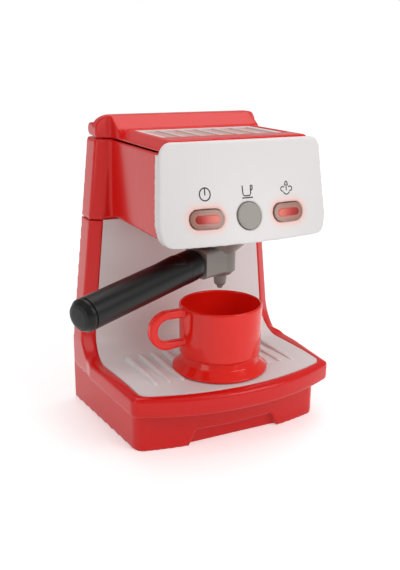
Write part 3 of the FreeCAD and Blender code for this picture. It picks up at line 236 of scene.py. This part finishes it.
# %% One material for each plastic
red = moulded("red_casing_plastic", srgb("DA130F"), 0.19, edge=1.8, coat=0.05, mirror=0.32)
cup_red = moulded("cup_plastic", srgb("F01F12"), 0.14, edge=1.2, coat=0.08, mirror=0.35)
white = moulded("white_panel_plastic", srgb("E5E1E0"), 0.36, edge=1.0, coat=0.06)
grille_white = moulded("grille_plastic", srgb("E5E1E0"), 0.36, edge=0.5, coat=0.06, tune=slot_painted_shade)
lit_white = moulded("lit_panel_plastic", srgb("E5E1E0"), 0.36, edge=1.0, coat=0.06, tune=painted_lamp_glow)
part_grey = moulded("group_plastic", srgb("857C76"), 0.36, edge=0.8)
round_grey = moulded("round_button_plastic", srgb("9C968E"), 0.42, edge=1.6)
black = moulded("handle_plastic", srgb("0A0908"), 0.34, edge=0.8, wave=0.006, mirror=0.3)
under_grey = moulded("underside_plastic", srgb("3A3836"), 0.55)
print("plastics ready")

cup_shader = cup_red.node_tree.nodes["Principled BSDF"]
cup_shader.inputs["Subsurface Weight"].default_value = 0.35
cup_shader.inputs["Subsurface Radius"].default_value = (1.0, 0.2, 0.1)
cup_shader.inputs["Subsurface Scale"].default_value = 6 * MM

# %% [markdown]
# ## Buttons that light up
# The long buttons are smoky plastic, and the lamp's light in them is painted in as a red tint and a
# faint emission. The slot in the middle is the brightest: a colour ramp runs along it, from hot at the
# end near the round button to dark at the outer end.


# %% Smoky bezels and glowing lenses
HOT_SPOT, LENS_REACH = 1.5 * MM, 0.011


def lens_light(start, shader):
    x, _, z = place_axes(start)
    across = (abs(x) - (BUTTON_X + HOT_SPOT)) / LENS_REACH
    heat = start.node("ShaderNodeValToRGB", {}, Fac=across * 0.5 + 0.5)
    ramp = heat.color_ramp
    ramp.elements[0].color = (1.0, 0.16, 0.06, 1)
    ramp.elements[1].color = (0.05, 0.004, 0.003, 1)
    middle = ramp.elements.new(0.5)
    middle.color = (0.62, 0.02, 0.01, 1)
    start.tree.links.new(heat.outputs[0], shader.inputs["Emission Color"])
    shader.inputs["Emission Strength"].default_value = 0.5


def bezel_light(start, shader):
    # painted glow on the smoky bezels: the lamp's red light as a tint in the colour and a faint emission
    painted_lamp_glow(start, shader, reach=0.009, near=0.001, tint=(0.80, 0.14, 0.08), strength=0.5, shine=0.12)


lens = moulded("lens_plastic", srgb("7A100C"), 0.12, edge=0.3, coat=0.3, tune=lens_light)
bezel = moulded("bezel_plastic", srgb("8F7064"), 0.2, edge=0.8, coat=0.4, tune=bezel_light)
ink = moulded("sign_ink", srgb("25211F"), 0.6, edge=0.05)
dark = moulded("dark_plastic", srgb("161616"), 0.5)
green = moulded("board_mask", srgb("1E5A32"), 0.35)
bright_steel = steel("screw_steel", (0.62, 0.62, 0.60), 0.3)
jacket = moulded("cell_jacket", srgb("3E4650"), 0.3)
lamp_clear = moulded("lamp_resin", srgb("D8503C"), 0.1)

# %% Finishes for the CAD nodes
FINISH = {
    red: ["base_shell", "upper_housing", "lid_frame", "back_cover"],
    white: ["splash_tray_panel"],
    grille_white: ["lid_grille"],
    lit_white: ["front_panel"],
    under_grey: ["bottom_plate", "battery_door"],
    bezel: ["power_button", "steam_button"],
    round_grey: ["brew_button"],
    lens: ["power_lens", "steam_lens"],
    part_grey: ["group_collar", "portafilter_bowl", "portafilter_spout", "handle_core"],
    black: ["handle_ferrule", "handle_grip", "handle_end_cap"],
    cup_red: ["cup_body", "cup_foot"],
    green: ["circuit_board"],
    dark: ["switches", "speaker"],
    lamp_clear: ["lamps"],
    jacket: ["batteries"],
    bright_steel: ["battery_contacts", "power_button_spring", "steam_button_spring",
                   "brew_button_spring", "bottom_screws", "door_screw", "back_screws",
                   "board_screws", "collar_screws"],
}
for finish, names in FINISH.items():
    for name in names:
        nodes[name].data.materials.clear()
        nodes[name].data.materials.append(finish)
print(sum(len(names) for names in FINISH.values()), "nodes finished")


# %% Small helpers for new pieces
def make_piece(name, verts, faces, material, body, smooth=False):
    mesh = bpy.data.meshes.new(name)
    mesh.from_pydata([tuple(v) for v in verts], [], faces)
    mesh.update()
    mesh.materials.append(material)
    for face in mesh.polygons:
        face.use_smooth = smooth
    piece = bpy.data.objects.new(name, mesh)
    bpy.context.scene.collection.objects.link(piece)
    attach(piece, body)
    return piece


def surface_of(name):
    """A quick finder of points on a CAD node's surface."""
    mesh = nodes[name].data
    mesh.calc_loop_triangles()
    return BVHTree.FromPolygons([v.co for v in mesh.vertices],
                                [tuple(t.vertices) for t in mesh.loop_triangles])


panel_surface = surface_of("front_panel")

# %% [markdown]
# ## Softened mouldings
# The casing, the lid, the control panel and the cup have round edges. A copy of each is covered with an
# even skin of small squares, and a few rounds of smoothing wear its edges round, as a polished mould
# would. The smoothing leaves broad flat faces where they were.


# %% An even skin, worn round at its edges
def softened(node, body, material, square, rounds):
    piece = bpy.data.objects.new(node + "_soft", nodes[node].data.copy())
    bpy.context.scene.collection.objects.link(piece)
    skin = piece.modifiers.new("even_skin", "REMESH")
    skin.mode, skin.voxel_size, skin.use_smooth_shade = "VOXEL", square * MM, True
    wear = piece.modifiers.new("worn_edges", "SMOOTH")
    wear.factor, wear.iterations = 0.5, rounds
    graph = bpy.context.evaluated_depsgraph_get()
    mesh = bpy.data.meshes.new_from_object(piece.evaluated_get(graph))
    piece.modifiers.clear()
    piece.data = mesh
    mesh.name = node + "_soft"
    mesh.materials.clear()
    mesh.materials.append(material)
    for face in mesh.polygons:
        face.use_smooth, face.material_index = True, 0
    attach(piece, body)
    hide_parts(node)
    print(mesh.name, len(mesh.polygons), "squares")
    return piece


# %% Soft casing, lid, control panel and cup
softened("base_shell", "machine", red, 1.25, 9)
softened("upper_housing", "machine", red, 1.4, 5)
softened("lid_frame", "lid", red, 0.9, 10)
softened("front_panel", "machine", lit_white, 0.8, 12)
softened("cup_body", "cup", cup_red, 0.65, 12)


def on_panel(x, z, lift=0.00008):
    """The point of the control panel's front face at an x and z, in millimetres."""
    hit, _, _, _ = panel_surface.ray_cast(Vector((x * MM, -0.3, z * MM)), Vector((0, 1, 0)))
    return hit - Vector((0, lift, 0))


# %% [markdown]
# ## Printed signs
# Over each button is a small printed sign: an on and off ring, a cup and a puff of steam. Ink has no
# thickness, so each stroke is a ribbon laid a few hundredths of a millimetre over the panel.


# %% The three signs
def stroke(points, width):
    """A flat ribbon along a line of (x, z) points in millimetres, following the panel."""
    verts, faces = [], []
    for n, (x, z) in enumerate(points):
        x0, z0 = points[max(n - 1, 0)]
        x1, z1 = points[min(n + 1, len(points) - 1)]
        run = math.hypot(x1 - x0, z1 - z0) or 1
        side_x, side_z = -(z1 - z0) / run * width / 2, (x1 - x0) / run * width / 2
        verts += [on_panel(x - side_x, z - side_z), on_panel(x + side_x, z + side_z)]
        if n:
            faces.append((2 * n - 2, 2 * n, 2 * n + 1, 2 * n - 1))
    return verts, faces


def arc(cx, cz, rx, rz, start, end, steps=32):
    return [(cx + rx * math.cos(math.radians(start + (end - start) * n / steps)),
             cz + rz * math.sin(math.radians(start + (end - start) * n / steps)))
            for n in range(steps + 1)]


def sign(name, strokes, width=1.0):
    verts, faces = [], []
    for points in strokes:
        more, quads = stroke(points, width)
        faces += [tuple(i + len(verts) for i in quad) for quad in quads]
        verts += more
    return make_piece(name, verts, faces, ink, "machine")


SIGN_Z = 222.5
sign("power_sign", [arc(-37.5, SIGN_Z, 4.6, 4.9, 0, 360), [(-37.5, SIGN_Z + 4.8), (-37.5, SIGN_Z + 3),
                                                            (-37.5, SIGN_Z - 0.8)]])
sign("cup_sign", [[(-4.2, SIGN_Z + 4.6), (-4.0, SIGN_Z - 1.6), (-3.2, SIGN_Z - 3.4), (2.2, SIGN_Z - 3.4),
                   (3.2, SIGN_Z - 1.6), (3.3, SIGN_Z + 4.4)],
                  [(3.4, SIGN_Z + 4.2), (4.9, SIGN_Z + 4.4), (4.9, SIGN_Z + 1.6), (3.6, SIGN_Z + 0.4)],
                  [(-4.9, SIGN_Z - 5.0), (4.9, SIGN_Z - 5.0)]])
steam = [arc(37.5, SIGN_Z + 0.9, 1.5, 4.4, 12, 168), arc(33.9, SIGN_Z - 0.6, 1.9, 1.8, 40, 290),
         arc(41.1, SIGN_Z - 0.6, 1.9, 1.8, 140, -110), arc(37.5, SIGN_Z - 1.8, 3.2, 3.2, 205, 335),
         [(37.5, SIGN_Z + 3.2), (37.5, SIGN_Z - 2.0)]]
sign("steam_sign", steam, 0.85)
print("signs printed")

# %% [markdown]
# ## Ribs on the tray
# The drip tray has a dozen raised ribs that run front to back, with rounded tops, so the cup stands
# clear of spills. They repeat with a fixed step, which is what Geometry Nodes are for: one rib mesh
# is instanced along a line, and the tree ends by making it real and giving it its material.


# %% One crowned rib
def half_round_bar(name, length, width, height, tip):
    """A bar with a rounded crown and rounded ends, along Y, standing on z = 0."""
    rows, columns = 28, 10
    verts, faces = [], []
    for r in range(rows + 1):
        t = r / rows
        y = (t - 0.5) * length
        near_end = min(t, 1 - t) * length
        scale = math.sqrt(max(0.0, 1 - (1 - min(near_end / tip, 1)) ** 2))
        for c in range(columns + 1):
            angle = math.pi * c / columns
            verts.append((-math.cos(angle) * width / 2 * scale, y,
                          math.sin(angle) ** 0.7 * height * scale if 0 < c < columns else -0.0008))
    for r in range(rows):
        for c in range(columns):
            a = r * (columns + 1) + c
            faces.append((a, a + 1, a + columns + 2, a + columns + 1))
    mesh = bpy.data.meshes.new(name)
    mesh.from_pydata(verts, [], faces)
    mesh.update()
    for face in mesh.polygons:
        face.use_smooth = True
    return bpy.data.objects.new(name, mesh)


# %% The tree that repeats a piece along X
def repeat_tree(name):
    tree = bpy.data.node_groups.new(name, "GeometryNodeTree")
    face = tree.interface
    face.new_socket("Piece", in_out="INPUT", socket_type="NodeSocketObject")
    face.new_socket("Count", in_out="INPUT", socket_type="NodeSocketInt")
    face.new_socket("Start", in_out="INPUT", socket_type="NodeSocketVector")
    face.new_socket("Step", in_out="INPUT", socket_type="NodeSocketVector")
    face.new_socket("Material", in_out="INPUT", socket_type="NodeSocketMaterial")
    face.new_socket("Geometry", in_out="OUTPUT", socket_type="NodeSocketGeometry")
    add, link = tree.nodes.new, tree.links.new
    entry, leave = add("NodeGroupInput"), add("NodeGroupOutput")
    line = add("GeometryNodeMeshLine")
    line.mode = "OFFSET"
    info = add("GeometryNodeObjectInfo")
    spread = add("GeometryNodeInstanceOnPoints")
    real = add("GeometryNodeRealizeInstances")
    finish = add("GeometryNodeSetMaterial")
    link(entry.outputs["Count"], line.inputs["Count"])
    link(entry.outputs["Start"], line.inputs["Start Location"])
    link(entry.outputs["Step"], line.inputs["Offset"])
    link(entry.outputs["Piece"], info.inputs["Object"])
    link(line.outputs["Mesh"], spread.inputs["Points"])
    link(info.outputs["Geometry"], spread.inputs["Instance"])
    link(spread.outputs["Instances"], real.inputs["Geometry"])
    link(real.outputs["Geometry"], finish.inputs["Geometry"])
    link(entry.outputs["Material"], finish.inputs["Material"])
    link(finish.outputs["Geometry"], leave.inputs["Geometry"])
    return tree


def repeated(name, tree, pattern, count, start, step, material, body):
    """Runs the tree once and keeps its result as a plain mesh."""
    holder = bpy.data.objects.new(name + "_maker", bpy.data.meshes.new(name + "_maker"))
    bpy.context.scene.collection.objects.link(holder)
    modifier = holder.modifiers.new("repeat", "NODES")
    modifier.node_group = tree
    values = {"Piece": pattern, "Count": count, "Start": start, "Step": step, "Material": material}
    for item in tree.interface.items_tree:
        if item.in_out == "INPUT":
            modifier[item.identifier] = values[item.name]
    graph = bpy.context.evaluated_depsgraph_get()
    mesh = bpy.data.meshes.new_from_object(holder.evaluated_get(graph))
    mesh.name = name
    holder.modifiers.remove(modifier)
    bpy.data.objects.remove(holder)
    piece = bpy.data.objects.new(name, mesh)
    bpy.context.scene.collection.objects.link(piece)
    if not mesh.materials:
        mesh.materials.append(material)
    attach(piece, body)
    print(name, "has", len(mesh.polygons), "faces")
    return piece


# %% Twelve ribs on the tray
row_tree = repeat_tree("repeat_in_a_row")
RIB_PITCH, RIB_BACK, RIB_FRONT = 12.4 * MM, 20.5 * MM, -51 * MM
rib = half_round_bar("rib_pattern", RIB_BACK - RIB_FRONT, 5.2 * MM, 1.5 * MM, 5 * MM)
repeated("tray_ribs", row_tree, rib, 12, (-5.5 * RIB_PITCH, (RIB_BACK + RIB_FRONT) / 2, 56.0 * MM),
                (RIB_PITCH, 0, 0), white, "machine")

# %% [markdown]
# ## Crest on the grip
# The black grip starts with a raised crest on its top, broad at the ring and narrowing to a point
# like the prow of a boat. Its height follows one smooth formula, so no edge of it is hard.

# %% The crest, laid along the grip
TURN, DROOP = math.radians(66.5), math.radians(6.3)
along = Vector((-math.sin(TURN) * math.cos(DROOP), -math.cos(TURN) * math.cos(DROOP), -math.sin(DROOP)))
over = (Vector((0, 0, 1)) - along * along.z).normalized()
aside = along.cross(over)
GRIP_START = Vector((0, -32.6, 162.7))  # where the grip's axis meets the axis of the bowl
verts, faces = [], []
LONG, WIDE = 24, 20
CREST_START, CREST_LONG, CREST_HALF_ANGLE = 54.6, 30, 1.05
GRIP_RADIUS, CREST_HIGH = 13.0, 1.3
for r in range(LONG + 1):
    t = r / LONG
    for c in range(WIDE + 1):
        s = c / WIDE * 2 - 1
        angle = s * CREST_HALF_ANGLE * (1 - t) ** 0.7
        rise = CREST_HIGH * (1 - s * s) ** 0.6 * (1 - t) ** 0.5 * min(1, t * 8 + 0.3)
        high = GRIP_RADIUS + rise - 0.15 * abs(s)
        out = over * math.cos(angle) + aside * math.sin(angle)
        spot = GRIP_START + along * (CREST_START + CREST_LONG * t) + out * high
        verts.append(spot * MM)
for r in range(LONG):
    for c in range(WIDE):
        a = r * (WIDE + 1) + c
        faces.append((a, a + 1, a + WIDE + 2, a + WIDE + 1))
make_piece("grip_crest", verts, faces, black, "portafilter", smooth=True)

# %% [markdown]
# ## Floor, light and camera
# The photograph is a product shot on white with a soft shadow. A wide pale floor catches the
# shadow, the world lights evenly from all round, and two large soft lamps give the plastic its
# broad highlights. The camera comes from matching known points of the object to the picture.

# %% White floor
floor_size = 30.0
FAR_LIFT, NEAR_LIFT, LIFT_START, LIFT_END = 0.25, 0.38, 0.25, 1.1
floor_mesh = bpy.data.meshes.new("studio_floor")
floor_mesh.from_pydata([(-floor_size, -floor_size, 0), (floor_size, -floor_size, 0),
                        (floor_size, floor_size, 0), (-floor_size, floor_size, 0)], [], [(0, 1, 2, 3)])
floor = bpy.data.objects.new("studio_floor", floor_mesh)
bpy.context.scene.collection.objects.link(floor)
floor_paint = bpy.data.materials.new("studio_white")
floor_paint.use_nodes = True
floor_shader = floor_paint.node_tree.nodes["Principled BSDF"]
floor_shader.inputs["Base Color"].default_value = (0.9, 0.9, 0.9, 1)
floor_shader.inputs["Roughness"].default_value = 0.6
floor_shader.inputs["Emission Color"].default_value = (1, 1, 1, 1)
start = Wire(floor_paint.node_tree, floor_shader.outputs[0])
path = start.node("ShaderNodeLightPath")
seen = Wire(start.tree, path.outputs["Is Camera Ray"])
glossy = Wire(start.tree, path.outputs["Is Glossy Ray"])
through = Wire(start.tree, path.outputs["Is Transmission Ray"])
x, y, _ = place_axes(start)
far = 1.0 - x.hypot(y).fade(LIFT_START, LIFT_END)
lift = (seen + glossy + through) * (far * FAR_LIFT + NEAR_LIFT)
start.tree.links.new(lift.socket, floor_shader.inputs["Emission Strength"])
floor_mesh.materials.append(floor_paint)

# %% World and lamps
world = bpy.data.worlds.new("studio")
bpy.context.scene.world = world
world.use_nodes = True
tree = world.node_tree
background = tree.nodes["Background"]
background.inputs["Color"].default_value = (1, 1, 1, 1)
start = Wire(tree, background.outputs[0])
path = start.node("ShaderNodeLightPath")
seen = Wire(tree, path.outputs["Is Camera Ray"])
through = Wire(tree, path.outputs["Is Transmission Ray"])
AMBIENT = 0.45
level = (seen + through) * (1 - AMBIENT) + AMBIENT
tree.links.new(level.socket, background.inputs["Strength"])


def softbox(name, spot, target, size, power):
    lamp = bpy.data.lights.new(name, "AREA")
    lamp.shape = "RECTANGLE"
    lamp.size, lamp.size_y = size
    lamp.energy = power
    holder = bpy.data.objects.new(name, lamp)
    holder.location = spot
    holder.rotation_euler = (Vector(target) - Vector(spot)).to_track_quat("-Z", "Y").to_euler()
    bpy.context.scene.collection.objects.link(holder)


MIDDLE = (0, 0, 0.13)
softbox("key_softbox", (0.55, -0.85, 0.75), MIDDLE, (0.7, 0.7), 5.2)
softbox("side_softbox", (-0.9, -0.35, 0.55), MIDDLE, (0.4, 0.8), 1.8)
softbox("top_softbox", (0.1, 0.2, 1.1), MIDDLE, (0.8, 0.8), 3.4)

# %% Camera matched to the photograph
AZIMUTH, ELEVATION, ROLL = (math.radians(a) for a in (-26.75, 17.03, 0.56))
back = Vector((math.sin(AZIMUTH) * math.cos(ELEVATION), -math.cos(AZIMUTH) * math.cos(ELEVATION),
               math.sin(ELEVATION)))
right = (-back).cross(Vector((0, 0, 1))).normalized()
up = right.cross(-back)
right, up = (right * math.cos(ROLL) + up * math.sin(ROLL), up * math.cos(ROLL) - right * math.sin(ROLL))
lens_data = bpy.data.cameras.new("photo_camera")
lens_data.sensor_fit = "VERTICAL"
lens_data.sensor_height = 36
lens_data.lens = 36 * 769.8 / 570
camera = bpy.data.objects.new("photo_camera", lens_data)
camera.matrix_world = Matrix.Translation((-0.3078, -0.6044, 0.3307)) @ Matrix(
    (right, up, back)).transposed().to_4x4()
bpy.context.scene.collection.objects.link(camera)
bpy.context.scene.camera = camera
bpy.context.scene.view_settings.view_transform = "Standard"
